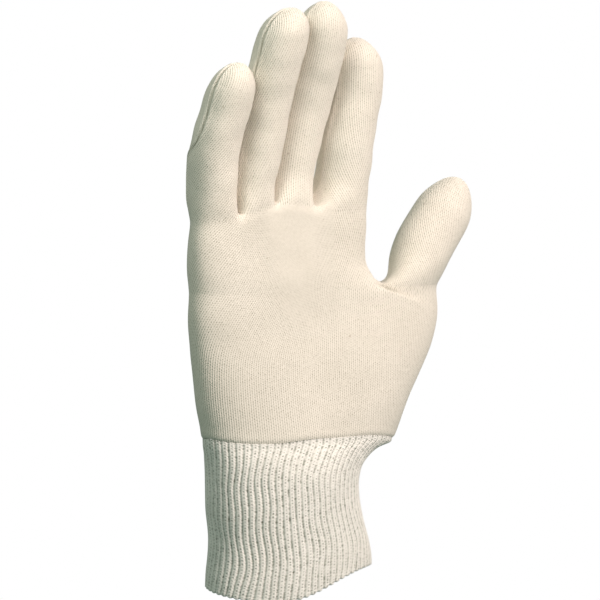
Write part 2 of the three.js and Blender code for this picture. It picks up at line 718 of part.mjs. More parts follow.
/** The ribbed tube of the wrist, with ribs outside and a plain inner face. */
function cuffGeometry() {
  const read = tableCurve(CUFF);
  const columns = RIB_COUNT * 2;
  const shares = evenShares(columns).slice(0, -1);
  const points = [];
  const addRow = (at, inside) => {
    const section = cuffSection(read(at), inside ? RIB_CLOTH + RIB_RELIEF : 0);
    arcPoints(measuredArc(section, 0, 360), shares).forEach((point, column) => {
      const outward = new THREE.Vector2(
        (point.x - section.middle) / section.halfBreadth,
        point.y / section.halfDepth,
      ).normalize();
      const groove = inside || column % 2 === 0 ? 0 : RIB_RELIEF;
      const hem = hemHeight(Math.atan2(point.x - section.middle, -point.y));
      points.push(new THREE.Vector3(
        point.x - outward.x * groove,
        point.y - outward.y * groove,
        lerp(hem, CUFF_LENGTH - SEAM_GAP / 2, at),
      ));
    });
  };
  for (let row = 0; row <= CUFF_ROWS; row += 1) {
    addRow(row / CUFF_ROWS, false);
  }
  for (let row = CUFF_ROWS; row >= 0; row -= 2) {
    addRow(row / CUFF_ROWS, true);
  }
  const rows = points.length / columns;
  const triangles = [];
  for (let row = 0; row < rows; row += 1) {
    for (let column = 0; column < columns; column += 1) {
      const a = row * columns + column;
      const b = row * columns + ((column + 1) % columns);
      const above = ((row + 1) % rows) * columns;
      const c = above + ((column + 1) % columns);
      const d = above + column;
      triangles.push(a, b, c, a, c, d);
    }
  }
  const geometry = new THREE.BufferGeometry().setFromPoints(points);
  geometry.setIndex(triangles);
  geometry.computeVertexNormals();
  return geometry;
}

const cloth = new THREE.MeshStandardMaterial({ color: '#e8dccb', roughness: 0.95, metalness: 0 });
const shadedCloth = new THREE.MeshStandardMaterial({ color: '#e2d6c4', roughness: 0.95, metalness: 0 });
const ribKnit = new THREE.MeshStandardMaterial({ color: '#e6dfd1', roughness: 0.97, metalness: 0 });

function namedMesh(name, geometry, material) {
  const mesh = new THREE.Mesh(geometry, material);
  mesh.name = name;
  return mesh;
}

buildHand();
const normals = skinNormals();

const glove = new THREE.Group();
glove.name = 'cotton_work_glove';
glove.add(
  namedMesh('palm_panel', panelGeometry('palm_panel', normals), cloth),
  namedMesh('middle_fingers_panel', panelGeometry('middle_fingers_panel', normals), cloth),
  namedMesh('back_panel', panelGeometry('back_panel', normals), shadedCloth),
  namedMesh('thumb', panelGeometry('thumb', normals), cloth),
  namedMesh('wrist_cuff', cuffGeometry(), ribKnit),
);

export default glove;
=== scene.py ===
"""Looks of a cotton work glove with a ribbed knit wrist, held open as if worn.

Lengths in the tables and formulas are millimetres, and the meshes are metres. +Z points up the
hand, +X to the thumb's side, and the palm faces -Y.
"""

from functools import partialmethod
import bpy
import numpy as np
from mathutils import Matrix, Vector


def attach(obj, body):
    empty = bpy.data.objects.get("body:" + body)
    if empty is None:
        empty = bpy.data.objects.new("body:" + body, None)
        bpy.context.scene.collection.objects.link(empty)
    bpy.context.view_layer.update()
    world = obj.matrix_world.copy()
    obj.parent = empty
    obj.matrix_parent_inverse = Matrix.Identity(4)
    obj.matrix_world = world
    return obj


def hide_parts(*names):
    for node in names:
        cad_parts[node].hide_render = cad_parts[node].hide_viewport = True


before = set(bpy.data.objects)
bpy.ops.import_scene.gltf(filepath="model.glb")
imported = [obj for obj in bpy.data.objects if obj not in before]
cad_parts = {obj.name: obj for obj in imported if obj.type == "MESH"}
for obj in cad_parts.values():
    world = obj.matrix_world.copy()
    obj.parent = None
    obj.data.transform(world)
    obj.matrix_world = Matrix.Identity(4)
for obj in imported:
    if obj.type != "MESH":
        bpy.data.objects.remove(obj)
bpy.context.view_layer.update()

MM = 0.001

# Sizes, as the solids have them
CUFF_LENGTH, WRIST_BREADTH, WRIST_DEPTH = 62.0, 71.0, 50.0
PALM_LENGTH, PALM_BREADTH, PALM_DEPTH = 100.0, 86.0, 34.0
THUMB_WEB_HEIGHT, THUMB_SIDE_REACH, THUMB_WEB_TURN = 64.0, 75.0, 16.0
THUMB_BREADTH, THUMB_DEPTH = 26.0, 25.0
FINGER_DEPTH = 23.5
CLOTH, RIB_CLOTH, RIB_RELIEF, RIB_COUNT = 1.2, 1.4, 0.9, 64
FINGER_LENGTHS = 68.0, 87.0, 87.5, 74.5
SEAM_GAP, CUFF_STEP, FINGER_CLEARANCE = 0.04, 0.3, 0.8
# How far up a branch its root's outline and columns reach, and the share of its first offset that
# is left out at the root
ROOT_BLEND, COLUMN_BLEND, ROOT_STEP = 14.0, 26.0, 0.4
# Seams, in degrees from the palm's side
ULNAR_SEAM, RADIAL_SEAM, INDEX_SIDE_SEAM = -118.0, 100.0, 90.0
FINGER_SEAM, THUMB_INNER_SEAM = 80.0, -90.0
WRIST_SQUARENESS, DOME = 2.05, 0.6

THUMB_WEB_Z = CUFF_LENGTH + THUMB_WEB_HEIGHT
FINGER_WEB_Z = CUFF_LENGTH + PALM_LENGTH
FINGER_PITCH = PALM_BREADTH / 4
FINGER_BREADTH = FINGER_PITCH - FINGER_CLEARANCE

# How finely the skin is divided: columns of a finger's cell, of a web and of the thumb, and rows
FINE = 4
CELL, WEB, THUMB_CELL = 6 * FINE, 4 * FINE, 8 * FINE
HALF_WEB = WEB // 2
LOWER_ROWS, UPPER_ROWS, DOME_ROWS = 72, 44, 16
CUFF_ROWS, CUFF_INNER_ROWS, ROLL_ROWS, RIB_COLUMNS = 118, 22, 6, 9
LOWER_ROW_PULL, CUFF_ROW_PULL, ROW_CROWDING = 0.6, 0.35, 1.2
ARC_STEPS = 360

# Rows, unit of the places across, breadth, depth and squareness of fingers and thumb, and its rise
FINGER_BUILD = 64, FINGER_PITCH, FINGER_BREADTH, FINGER_DEPTH, 2.15
THUMB_BUILD = 40, THUMB_BREADTH, THUMB_BREADTH, THUMB_DEPTH, 2.1, 45.0

# How far the roots are eased, in millimetres, and in how many rounds
EASE = {"below_web": 7.0, "above_web": 8.0, "knuckles": 5.0, "finger": 6.0, "thumb": 8.0}
THUMB_EASE, THUMB_EASE_OUTWARD = 9.0, 8.0
EASE_ROUNDS, THUMB_EASE_ROUNDS = 40, 60

# The fold at the thumb: depth, fall away from the web, height above it, sharpness, painted shade
THUMB_FOLD, THUMB_FOLD_SLOPE, THUMB_FOLD_RISE, THUMB_FOLD_STEP = 4.2, 0.34, 0.4, 0.2
FOLD_SHADE_REACH, FOLD_UPPER_SHADE, FOLD_UPPER_REACH = 0.7, 0.45, 6.0

# Seams between fingers are flattened by this distance, on the ring finger below this height
FLAT_SEAM, RING_SEAM_END, RING_SEAM_FADE = 1.3, 218.5, 8.0
# A distance beyond any mark, and the largest one from a seam that the material is told
FAR, SEAM_REACH = 99.0, 9


def table(names, *rows):
    """A table with named columns, as one array per column."""
    return dict(zip(names.split(), np.array(rows, float).T))


LOWER_PALM = table(
    "at ulnar web radial deep cup lag squareness",
    (0, -0.478, 0.38, 0.672, 1.17, 0.02, 0, 2.2),
    (0.25, -0.518, 0.40, 0.780, 1.14, 0.06, 0.02, 2.3),
    (0.50, -0.546, 0.43, 0.896, 1.08, 0.09, 0.06, 2.4),
    (0.68, -0.562, 0.45, 0.968, 1.03, 0.11, 0.10, 2.4),
    (0.86, -0.572, 0.465, 1.010, 0.98, 0.12, 0.14, 2.5),
    (1, -0.574, 0.475, 1.028, 0.95, 0.12, 0.17, 2.5),
)
UPPER_PALM = table(
    "at ulnar radial deep cup lag squareness",
    (0, -0.575, 0.448, 0.95, 0.12, 0, 2.5),
    (0.35, -0.574, 0.418, 0.91, 0.13, 0, 2.5),
    (0.60, -0.574, 0.412, 0.88, 0.14, 0, 2.5),
    (1, -0.566, 0.430, 0.84, 0.15, 0, 2.5),
)
KNUCKLE_LINE = table(
    "at rise", (-1, -0.060), (-0.55, -0.033), (-0.08, 0.019), (0.45, -0.010), (1, -0.050)
)
FINGER_EDGES = [0.236, 0.435, 0.665]
LITTLE = table(
    "at across front broad deep seam",
    (0, 0, 0, 0.97, 1.16, -118),
    (0.18, 0.01, 0.08, 0.99, 1.04, -118),
    (0.40, 0, 0.16, 1.03, 1, -114),
    (0.50, 0.03, 0.23, 1.03, 0.99, -85),
    (0.74, 0.17, 0.42, 1.01, 0.97, -78),
    (1, 0.25, 0.64, 0.88, 0.86, -82),
)
RING = table(
    "at across front broad deep seam",
    (0, 0, 0, 0.93, 1.18, -80),
    (0.12, 0.07, 0.09, 0.90, 1.07, -80),
    (0.33, 0.21, 0.19, 0.97, 1.04, -80),
    (0.55, 0.30, 0.32, 1.01, 1.04, -80),
    (0.84, 0.45, 0.64, 1.03, 1.03, -82),
    (1, 0.57, 0.78, 0.96, 0.94, -85),
)
MIDDLE = table(
    "at across front broad deep seam",
    (0, 0, 0, 0.96, 1.18, -80),
    (0.12, 0.15, 0, 0.92, 1.07, -80),
    (0.32, 0.33, 0.06, 0.97, 1.02, -80),
    (0.53, 0.49, 0.19, 1.02, 1.01, -80),
    (0.82, 0.60, 0.51, 1, 1, -82),
    (1, 0.52, 0.68, 0.93, 0.92, -85),
)
INDEX = table(
    "at across front broad deep seam",
    (0, 0, 0, 1.16, 1.16, 90),
    (0.14, 0.18, 0.04, 1.15, 1.05, 82),
    (0.40, 0.30, 0.11, 1.14, 1.01, 80),
    (0.76, 0.49, 0.19, 1.06, 1, 80),
    (1, 0.38, 0.28, 0.96, 0.92, 85),
)
THUMB = table(
    "at across front broad deep lean",
    (0, 0.06, 0, 1, 1.02, 0),
    (0.22, 0.32, -0.08, 1, 1.01, 14),
    (0.40, 0.50, -0.12, 1.01, 1, 20),
    (0.60, 0.75, -0.16, 0.99, 0.97, 24),
    (0.80, 0.98, -0.20, 0.90, 0.91, 27),
    (1, 1.20, -0.22, 0.80, 0.82, 28),
)
CUFF = table(
    "at middle broad deep flare",
    (0, 0.003, 1.09, 1.04, 0),
    (0.08, 0.003, 1.08, 1.04, 0),
    (0.19, 0.000, 1.05, 1.03, 0),
    (0.34, -0.015, 1.01, 1.01, 0),
    (0.53, -0.039, 1, 1, 0),
    (0.68, -0.041, 1, 1, 0.01),
    (0.78, -0.041, 1, 1, 0.13),
    (0.89, -0.041, 1, 1, 0.52),
    (0.96, -0.041, 1, 1, 0.94),
    (1, -0.041, 1, 1, 1),
)
# Waves of the hem: in how many turns, how high and from which angle
HEM_WAVES = [(1, -0.045, -30), (1, 0.046, 60), (2, -0.045, -30)]

# Tilt of the wales from upright towards the thumb, in degrees, by height above the mouth. Those of
# the palm turn from the little finger's to the index finger's, each true at its own middle.
LITTLE_WALES = table(
    "at tilt", (60, 0), (92, 2), (106, 24), (125, 38), (172, 43), (196, 33), (226, 14)
)
INDEX_WALES = table(
    "at tilt", (60, 0), (92, 0), (120, 6), (142, -16), (172, -28), (196, -7), (232, 3)
)
RING_WALES = table("at tilt", (158, 26), (190, 28), (225, 23), (250, 10))
MIDDLE_WALES = table("at tilt", (158, 6), (190, 9), (225, 6), (250, 0))
THUMB_WALES = table("at tilt", (124, -24), (140, -20), (155, -4), (172, 0))
UPRIGHT_WALES = table("at tilt", (60, 0), (250, 0))
PALM_WALES = (LITTLE_WALES, -30.0), (INDEX_WALES, 26.0)
WALES_PART = table("at share", (-30, 0), (-16, 0.18), (4, 0.82), (16, 1))
# Wales closer than CROWDED a millimetre begin to blur, and never below PLAINEST of their depth
CROWDED, CROWDED_RANGE, PLAINEST = 2.1, 0.9, 0.35

# Height of the seam between hand and wrist above its mean plane, by place across the hand
WRIST_SEAM = table(
    "at rise",
    (-44, 1.9), (-37, 0.1), (-17, -1.0), (1, 0.4), (15, 0.6), (32, 0.8), (44, -0.6), (52, -2.5),
)
WRIST_SEAM_REACH = 10.0

# Relief of the dressed cloth beside each mark: how far from it, how wide and how high
RELIEF = {
    "seam": [(0.0, 0.6, -0.60), (1.7, 0.9, 0.36)],
    "crease": [(0.0, 1.4, -0.16), (3.0, 2.0, 0.10)],
    "hem": [(0.0, 0.6, -0.34), (2.2, 1.5, 0.10)],
}
# Unevenness of the cloth: size of the broad and fine dents, number they are drawn from, and depth
DENTS = (34, 5, 0.22), (13, 8, 0.09)

# The cuff's ribs: how far they lean, sway and wander, as shares of a turn, and how their depth
# fades into the flare, changes round the wrist and varies
RIB_LEAN, RIB_SWAY, RIB_WANDER, RIB_WANDER_SIZE = 0.011, 0.0012, 0.0013, 19.0
RIB_FLARE_FADE, RIB_DEPTH, RIB_SIDE_DEPTH, RIB_SIDE = 0.55, 0.76, 0.34, 1.2
RIB_UNEVEN, RIB_UNEVEN_SIZE, RIB_FURROW, INNER_RELIEF = 0.25, 9.0, 0.6, 0.15
HEM_SCALLOP, HEM_ROLL = 0.25, 0.75

# The view: degrees round and up, millimetres a pixel, and the picture's middle from the origin
VIEW_TURN, VIEW_RISE, PIXEL, PICTURE, VIEW_RIGHT, VIEW_UP = -30, 4, 0.4325, 600, 5.2, 121.1

# Light of the surround, and the lamps: place, target, size in metres, watts and colour
SURROUND_TINT, SURROUND_STRENGTH = (0.79, 1.0, 0.84, 1), 0.24
GLOVE_MIDDLE = (0.01, 0, 0.13)
LAMPS = {
    "key": ((0.41, -1.22, 0.95), GLOVE_MIDDLE, 0.7, 24.8, (1.0, 0.838, 0.776)),
    "fill": ((-0.23, -0.14, 0.42), (-0.04, 0, 0.20), 0.12, 0.40, (0.96, 0.92, 0.80)),
    "back": ((0.75, 1.0, 0.7), GLOVE_MIDDLE, 0.7, 13.0, (1.0, 0.88, 0.80)),
}


# Curves and sections
def mix(a, b, t):
    return a + (b - a) * t


def sums(steps):
    """Running sums along each row, from 0 on."""
    return np.concatenate([np.zeros((len(steps), 1)), np.cumsum(steps, axis=1)], axis=1)


def read(columns, name, at):
    """A smooth curve through a table's column: each slope is the mean of its two neighbours'."""
    places, values = columns["at"], columns[name]
    slopes = np.diff(values) / np.diff(places)
    slopes_at = np.concatenate([slopes[:1], (slopes[:-1] + slopes[1:]) / 2, slopes[-1:]])
    at = np.clip(at, places[0], places[-1])
    i = np.clip(np.searchsorted(places, at, side="right") - 1, 0, len(places) - 2)
    span = places[i + 1] - places[i]
    t = (at - places[i]) / span
    return (
        values[i] * (1 + 2 * t) * (1 - t) ** 2
        + slopes_at[i] * span * t * (1 - t) ** 2
        + values[i + 1] * t**2 * (3 - 2 * t)
        + slopes_at[i + 1] * span * t**2 * (t - 1)
    )


def summed(columns, name, turn, at):
    """Integral of the sine or cosine of a column of degrees from the table's first place on."""
    fine = np.linspace(columns["at"][0], columns["at"][-1], 400)
    values = turn(np.radians(read(columns, name, fine)))
    total = np.concatenate([[0], np.cumsum((values[1:] + values[:-1]) / 2 * np.diff(fine))])
    beyond = np.maximum(at - fine[-1], 0) * values[-1] + np.minimum(at - fine[0], 0) * values[0]
    return np.interp(at, fine, total) + beyond


def wale_coordinates(wales, middle, u, v):
    """Lengths across and along wales that tilt with height and keep their spacing at the middle."""
    tilt = np.radians(read(wales, "tilt", v))
    across = middle + (u - middle) * np.cos(tilt) - summed(wales, "tilt", np.sin, v)
    along_wale = (u - middle) * np.sin(tilt) + summed(wales, "tilt", np.cos, v)
    return np.dstack([across, along_wale])


def oval(section, degrees):
    """Points of a superellipse, bent hollow by cup and back on the thumb's side by lag."""
    angle = np.radians(degrees)
    power = 2 / section["squareness"]
    across = np.sign(np.sin(angle)) * np.abs(np.sin(angle)) ** power
    ahead = np.sign(np.cos(angle)) * np.abs(np.cos(angle)) ** power
    bend = section["cup"] * (0.5 - across**2) + section.get("lag", 0) * np.maximum(0, across) ** 2
    x = section["middle"] + section["half_breadth"] * across
    return x, bend - section["half_depth"] * ahead


def arcs(section, start, end):
    """One arc for each row of a section: fine points and the length of the way to each."""
    column = {name: np.reshape(value, (-1, 1)) for name, value in section.items()}
    start, end = np.reshape(start, (-1, 1)), np.reshape(end, (-1, 1))
    x, y = oval(column, mix(start, end, np.linspace(0, 1, ARC_STEPS + 1)[None, :]))
    return x, y, sums(np.hypot(np.diff(x, axis=1), np.diff(y, axis=1)))


def on_arcs(arc, shares):
    """Points of each row's arc at its shares of the length."""
    x, y, length = arc
    shares = np.broadcast_to(shares, (len(x), np.shape(shares)[-1]))
    return np.dstack([
        [np.interp(s * l[-1], l, v) for s, l, v in zip(shares, length, values)]
        for values in (x, y)
    ])


def share_at(arc, places):
    """Share of each row's arc at which it passes the places across the hand."""
    found = []
    for x, length, row in zip(arc[0], arc[2], places):
        low, high = sorted((int(np.argmin(x)), int(np.argmax(x))))
        xs, ls = x[low : high + 1], length[low : high + 1]
        order = slice(None) if xs[0] < xs[-1] else slice(None, None, -1)
        found.append(np.interp(row, xs[order], ls[order]) / length[-1])
    return np.stack(found)


def spread(columns, ends):
    """Shares for groups of evenly divided columns that end at each row's shares."""
    ends = np.column_stack([np.zeros(len(ends)), ends, np.ones(len(ends))])
    parts = [
        mix(ends[:, [g]], ends[:, [g + 1]], np.arange(min(g, 1), count + 1) / count)
        for g, count in enumerate(columns)
    ]
    return np.concatenate(parts, axis=1)


def palm_rows(section, side_seam, columns, front_places, back_places):
    """Front and back points of palm sections, with columns that lead to the dividing places."""
    front_arc = arcs(section, ULNAR_SEAM, side_seam)
    back_arc = arcs(section, side_seam, 360 + ULNAR_SEAM)
    front = on_arcs(front_arc, spread(columns, share_at(front_arc, front_places)))
    back = on_arcs(back_arc, spread(columns[::-1], share_at(back_arc, back_places[:, ::-1])))
    return front, back


def eased(count, pull):
    """Even steps from 0 to 1 drawn towards both ends."""
    t = np.linspace(0, 1, count + 1)
    return t - pull * np.sin(2 * np.pi * t) / (2 * np.pi)


def turned_in(height, reach):
    """How far a branch has turned from its root's outline into its own, 0 to 1."""
    return 1 - (1 - np.clip(height / reach, 0, 1)) ** 2


def hump(distance, width):
    """A bell of height 1."""
    return np.exp(-((distance / width) ** 2))


# The hand as one branching skin
class Skin:
    """Points of the whole hand, and the strips of faces that its panels are made of."""

    def __init__(self):
        self.blocks, self.count, self.strips, self.webs = [], 0, [], []

    def add(self, points):
        """Adds a block of points and gives its numbers in the block's own shape."""
        points = np.asarray(points, float)
        ids = self.count + np.arange(points[..., 0].size).reshape(points.shape[:-1])
        self.blocks.append(points.reshape(-1, 3))
        self.count += ids.size
        return ids

    def points(self):
        return np.concatenate(self.blocks)

    def rings(self, front, back):
        """Adds rows of rings whose front and back strips share their end points."""
        front_ids = self.add(front)
        inner = self.add(back[:, 1:-1])
        return front_ids, np.concatenate([front_ids[:, -1:], inner, front_ids[:, :1]], axis=1)

    def strip(self, panel, ids, anchor, **marks):
        """A strip of faces of a panel. The knit is counted across from one of its columns."""
        rows = self.points()[ids]
        u = along(rows, anchor) + (rows[:, [anchor], 0] if "wales" in marks else 0)
        self.strips.append({"panel": panel, "ids": ids, "u": u, "v": rows[..., 2], **marks})

    def web(self, front_id, back_id):
        """A line of points along a web, from the front skin to the back skin."""
        points = self.points()
        start, end = points[front_id], points[back_id]
        inner = self.add(mix(start, end, (np.arange(1, WEB) / WEB)[:, None]))
        line = np.concatenate([[front_id], inner, [back_id]])
        self.webs.append((line, np.array([start[1] - end[1], end[0] - start[0], 0])))
        return line


def root_ring(front, back, left, right):
    """The root ring of a branch that stands between two webs; an outer branch has only one."""
    if left is not None:
        front = np.concatenate([left[HALF_WEB:0:-1], front])
        back = np.concatenate([back, left[-2 : HALF_WEB - 1 : -1]])
    if right is not None:
        front = np.concatenate([front, right[1 : HALF_WEB + 1]])
        back = np.concatenate([right[HALF_WEB:-1], back])
    return front, back


def along(points, anchor):
    """Length along each row of points, counted from one of its columns."""
    length = sums(np.linalg.norm(np.diff(points, axis=1), axis=2))
    return length - length[:, [anchor]]


def palm_section(columns, at, reach):
    """Sections of the palm between its edges, the thumb's side as shares of a reach."""
    ulnar = read(columns, "ulnar", at) * PALM_BREADTH
    radial = read(columns, "radial", at) * reach
    return dict(
        middle=(ulnar + radial) / 2,
        half_breadth=(radial - ulnar) / 2,
        half_depth=read(columns, "deep", at) * PALM_DEPTH / 2,
        cup=read(columns, "cup", at) * PALM_DEPTH,
        lag=read(columns, "lag", at) * PALM_DEPTH,
        squareness=read(columns, "squareness", at),
    )


# Columns of the upper palm below each finger, and where they end
COLUMNS = [HALF_WEB + CELL, CELL, CELL, CELL + HALF_WEB]
EDGES = np.cumsum([0] + COLUMNS)
SPLIT = int(EDGES[3]) + CELL
PALM_ANCHOR = int(EDGES[2])


def build_lower_palm(skin):
    """The palm from the wrist seam to the thumb's web."""
    at = eased(LOWER_ROWS, LOWER_ROW_PULL)
    section = palm_section(LOWER_PALM, at, THUMB_SIDE_REACH)
    web = read(LOWER_PALM, "web", at) * PALM_BREADTH
    ulnar = (section["middle"] - section["half_breadth"])[:, None]
    edges = np.array([*FINGER_EDGES, 1])
    places = mix(ulnar, web[:, None], edges)
    back_places = mix(ulnar, (web + at * THUMB_WEB_TURN)[:, None], edges)
    columns = [*COLUMNS[:3], CELL, THUMB_CELL]
    front, back = palm_rows(section, RADIAL_SEAM, columns, places, back_places)
    z = mix(CUFF_LENGTH + SEAM_GAP / 2, THUMB_WEB_Z, at)
    front, back = (np.dstack([flat, z[:, None] + 0 * flat[..., 0]]) for flat in (front, back))
    ids = skin.rings(front, back)
    skin.strip("palm_panel", ids[0], PALM_ANCHOR, part="lower")
    skin.strip("back_panel", ids[1], back.shape[1] // 2, part="lower")
    return ids[0][-1], ids[1][-1]


def build_upper_palm(skin, root):
    """The palm from the thumb's web to the fingers' webs, grown from its root ring."""
    start = skin.points()
    at = np.linspace(0, 1, UPPER_ROWS + 1)[1:] ** ROW_CROWDING
    section = palm_section(UPPER_PALM, at, PALM_BREADTH)
    middle, half = section["middle"][:, None], section["half_breadth"][:, None]
    places = middle + half * (2 * np.array(FINGER_EDGES) - 1)
    own = turned_in(at * (FINGER_WEB_Z - THUMB_WEB_Z), ROOT_BLEND)[:, None]
    grown = []
    for flat, ids in zip(palm_rows(section, INDEX_SIDE_SEAM, COLUMNS, places, places), root):
        place = mix(start[ids][:, :2], flat, own[..., None])
        across = np.clip((place[..., 0] - middle) / half, -1, 1)
        top = FINGER_WEB_Z + read(KNUCKLE_LINE, "rise", across) * PALM_LENGTH
        grown.append(np.dstack([place, mix(start[ids][:, 2], top, at[:, None])]))
    front, back = (np.vstack([first, rows]) for first, rows in zip(root, skin.rings(*grown)))
    skin.strip("palm_panel", front, PALM_ANCHOR, part="upper")
    skin.strip("back_panel", back, back.shape[1] - 1 - PALM_ANCHOR, part="upper")
    return front[-1], back[-1]


def branch_rows(rows, dome_share):
    """Shares of a branch's length for its rows, with the rows of its domed tip and their scale."""
    straight = (1 - dome_share) * (np.arange(1, rows + 1) / rows) ** ROW_CROWDING
    turn = np.pi / 2 * np.arange(1, DOME_ROWS) / DOME_ROWS
    at = np.concatenate([straight, 1 - dome_share * (1 - np.sin(turn))])
    return at, np.concatenate([np.ones(rows), np.cos(turn)])


def blended_shares(points, turned):
    """Shares that turn from a root's own columns to evenly divided ones."""
    own = along(points[None], 0)[0]
    return mix(own / own[-1], np.linspace(0, 1, len(points)), turned)


def build_branch(skin, root, columns, build, seams, panels, wales, part):
    """A finger or the thumb, grown from its root ring to one point at its domed tip.

    Its rows are ovals that stand across and in front of the root's middle by their table's shares.
    Near the root they turn from the ring's outline into their own, and the thumb's lean outwards.
    """
    rows, unit_across, breadth, depth, squareness, length = build
    start = skin.points()
    ring = start[np.concatenate(root)]
    middle = np.array([*(ring.min(0) + ring.max(0))[:2] / 2, ring[:, 2].mean()])
    at, scale = branch_rows(rows, breadth * DOME / length)
    section = dict(
        middle=0,
        cup=0,
        half_breadth=scale * read(columns, "broad", at) * breadth / 2,
        half_depth=scale * read(columns, "deep", at) * depth / 2,
        squareness=squareness,
    )
    height = (at * length)[:, None]
    own, turned = turned_in(height, ROOT_BLEND), turned_in(height, COLUMN_BLEND)
    across = read(columns, "across", at)[:, None] - ROOT_STEP * columns["across"][0] * (1 - own)
    front = read(columns, "front", at)[:, None]
    lean = np.radians(read(columns, "lean", at))[:, None] if "lean" in columns else 0
    left, right = (read(columns, "seam", at) if side is None else side for side in seams)
    grown = []
    for ids, (begin, end) in zip(root, ((left, right), (right, 360 + left))):
        first = start[ids] - middle
        flat = on_arcs(arcs(section, begin, end), blended_shares(start[ids], turned))
        x, y = mix(first[:, 0], flat[..., 0], own), mix(first[:, 1], flat[..., 1], own)
        grown.append(np.dstack([
            middle[0] + across * unit_across + x * np.cos(lean),
            middle[1] - front * depth + y,
            middle[2] + height - x * np.sin(lean) + (1 - own) * first[:, 2],
        ]))
    tip = middle + [columns["across"][-1] * unit_across, -columns["front"][-1] * depth, length]
    ids, tip_id = skin.rings(*grown), skin.add(tip[None])
    for panel, first, own_ids in zip(panels, root, ids):
        all_ids = np.vstack([first, own_ids, tip_id + 0 * first])
        skin.strip(panel, all_ids, len(first) // 2, wales=wales, part=part)


def build_hand():
    """The whole hand: the lower palm, the thumb, the upper palm and the four fingers."""
    skin = Skin()
    front, back = build_lower_palm(skin)
    last = len(back) - 1
    thumb_web = skin.web(front[SPLIT], back[last - SPLIT])
    root = root_ring(front[SPLIT:], back[: last - SPLIT + 1], thumb_web, None)
    seams, panels = (THUMB_INNER_SEAM, RADIAL_SEAM), ("thumb", "thumb")
    build_branch(skin, root, THUMB, THUMB_BUILD, seams, panels, THUMB_WALES, "thumb")
    root = root_ring(front[: SPLIT + 1], back[last - SPLIT :], None, thumb_web)
    front, back = build_upper_palm(skin, root)
    last = len(front) - 1
    webs = [None, *(skin.web(front[EDGES[k]], back[last - EDGES[k]]) for k in (1, 2, 3)), None]
    fingers = [
        (LITTLE, None, FINGER_SEAM, "palm_panel", LITTLE_WALES),
        (RING, None, FINGER_SEAM, "middle_fingers_panel", RING_WALES),
        (MIDDLE, None, FINGER_SEAM, "middle_fingers_panel", MIDDLE_WALES),
        (INDEX, -FINGER_SEAM, None, "palm_panel", INDEX_WALES),
    ]
    for k, (columns, *seams, panel, wales) in enumerate(fingers):
        a, b = EDGES[k], EDGES[k + 1]
        root = root_ring(front[a : b + 1], back[last - b : last - a + 1], webs[k], webs[k + 1])
        build, panels = (*FINGER_BUILD, FINGER_LENGTHS[k]), (panel, "back_panel")
        build_branch(skin, root, columns, build, seams, panels, wales, "finger")
    return skin


def skin_quads(strip):
    """Four corner numbers of every face of a strip, as places in its own grid."""
    grid = np.arange(strip["ids"].size).reshape(strip["ids"].shape)
    corners = grid[:-1, :-1], grid[:-1, 1:], grid[1:, 1:], grid[1:, :-1]
    return np.dstack(corners).reshape(-1, 4)


def halved(corners):
    """Two triangles for each set of four values around a face."""
    return np.concatenate([corners[:, [0, 1, 2]], corners[:, [0, 2, 3]]])


def relax(points, strips, ease, rounds):
    """Draws each point towards the mean of its neighbours along the grid, as far as ease says."""
    pairs = []
    for strip in strips:
        ids = strip["ids"]
        pairs.append(np.stack([ids[:, :-1].ravel(), ids[:, 1:].ravel()]))
        pairs.append(np.stack([ids[:-1].ravel(), ids[1:].ravel()]))
    a, b = np.concatenate(pairs, axis=1)
    keep = a != b
    a, b = np.concatenate([a[keep], b[keep]]), np.concatenate([b[keep], a[keep]])
    number = np.bincount(a, minlength=len(points))[:, None]
    for _ in range(rounds):
        total = np.stack([np.bincount(a, points[b, k], len(points)) for k in range(3)], axis=1)
        points = mix(points, total / number, 0.5 * ease[:, None])
    return points


def unit(vectors):
    return vectors / np.maximum(np.linalg.norm(vectors, axis=1, keepdims=True), 1e-9)


def skin_normals(skin, points):
    """Unit normals, weighted by the faces' areas, that keep to a web's own plane along it."""
    total = np.zeros_like(points)
    for strip in skin.strips:
        corners = strip["ids"].ravel()[skin_quads(strip)]
        a, b, c, d = (points[corners[:, k]] for k in range(4))
        normal = np.cross(c - a, d - b)
        for k in range(4):
            np.add.at(total, corners[:, k], normal)
    for line, across in skin.webs:
        across = across / np.linalg.norm(across)
        total[line] -= np.outer(total[line] @ across, across)
    return unit(total)


def on_wrist_seam(points):
    """Lets the cloth near the wrist follow the slightly wavy seam."""
    moved = points.copy()
    rise = read(WRIST_SEAM, "rise", points[:, 0])
    moved[:, 2] += rise * hump(points[:, 2] - CUFF_LENGTH, WRIST_SEAM_REACH)
    return moved


def flattened_seams(rows):
    """Added distance from the seams at a finger strip's first and last column, which flattens them:
    all but the outer ones, and that of the ring finger above the little finger's tip."""
    root = rows[0, :, 0].mean()
    hidden = np.clip((RING_SEAM_END - rows[..., 2]) / RING_SEAM_FADE, 0, 1)
    left = 0 if root < -PALM_BREADTH / 4 else hidden if root < -PALM_BREADTH / 8 else 1
    right = 0 if root > PALM_BREADTH / 4 else 1
    first, last = (left, right) if rows[0, 0, 0] < rows[0, -1, 0] else (right, left)
    return FLAT_SEAM * first, FLAT_SEAM * last


def from_thumb_web(points):
    return points[..., 0] - LOWER_PALM["web"][-1] * PALM_BREADTH


